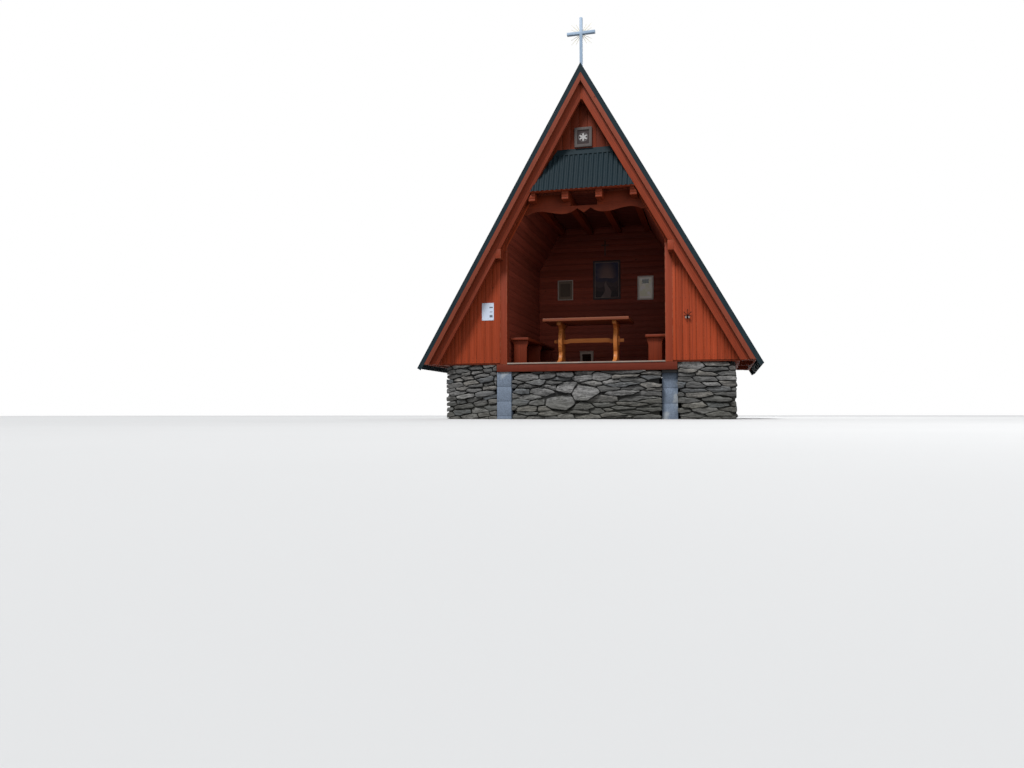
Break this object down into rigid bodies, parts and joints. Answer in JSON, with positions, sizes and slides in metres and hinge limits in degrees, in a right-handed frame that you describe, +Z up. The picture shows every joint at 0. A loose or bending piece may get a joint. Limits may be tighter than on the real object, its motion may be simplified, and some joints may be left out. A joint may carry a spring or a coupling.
{
  "type": "small open-fronted timber chapel",
  "caption": "Steep-roofed timber wayside chapel with an open front niche, benches and a table, on a dry stone plinth.",
  "frame": {"origin": "under the middle of the roof, at the foot of the plinth", "axes": "+X to the right along the front, +Y from the open front into the building, +Z up"},
  "size_m": [5.648, 3.32, 6.628],
  "materials": {
    "stained_wood": "red-brown stained boards and beams, weathered",
    "inside_wood": "red-brown stained boards, less weathered",
    "honey_wood": "varnished honey-coloured softwood",
    "dark_wood": "dark stained",
    "grey_wood": "grey weathered",
    "roof_metal": "dark blue-green coated sheet",
    "stone": "dry-laid flat sandstone, rough",
    "concrete": "grey cast concrete blocks",
    "steel": "pale galvanised flat bar",
    "gilt": "thin gilt rods",
    "picture": "framed picture or notice",
    "paper": "sheet in a clear sleeve",
    "iron": "black wrought iron"
  },
  "bodies": {
    "root": {"altar_picture": "picture", "back_sill_beam": "stained_wood", "back_wall": "stained_wood", "barge_boards": "stained_wood", "bench_seats": "inside_wood", "bench_supports": "inside_wood", "ceiling_boards": "inside_wood", "ceiling_joists": "inside_wood", "concrete_piers": "concrete", "corner_posts": "stained_wood", "cross_rays": "gilt", "eaves_plates": "stained_wood", "floor_boards": "inside_wood", "floor_joists": "inside_wood", "front_gable": "stained_wood", "front_sill_beam": "stained_wood", "front_wall_left": "stained_wood", "front_wall_right": "stained_wood", "gable_picture": "picture", "inner_rafters": "stained_wood", "niche_back": "inside_wood", "niche_linings": "inside_wood", "notice_left": "picture", "notice_right": "picture", "notice_sheet": "paper", "opening_trim": "stained_wood", "pent_apron": "roof_metal", "pent_fascia": "stained_wood", "pent_roof_boards": "stained_wood", "pent_roof_sheet": "roof_metal", "pier_slab": "stone", "plinth_back": "stone", "plinth_front_centre": "stone", "plinth_front_left": "stone", "plinth_front_right": "stone", "plinth_left": "stone", "plinth_right": "stone", "purlins": "stained_wood", "ridge_board": "stained_wood", "ridge_cap": "roof_metal", "ridge_cross": "steel", "roof_battens": "stained_wood", "roof_boards_left": "stained_wood", "roof_boards_right": "stained_wood", "roof_sheet_left": "roof_metal", "roof_sheet_right": "roof_metal", "sole_plates": "stained_wood", "table_stretcher": "honey_wood", "table_top": "honey_wood", "table_trestles": "honey_wood", "threshold": "inside_wood", "valance_board": "stained_wood", "vent_frame": "grey_wood", "verge_flashings": "roof_metal", "verge_rafters": "stained_wood", "wall_bracket": "iron", "wall_cross": "dark_wood"}
  },
  "joints": []
}
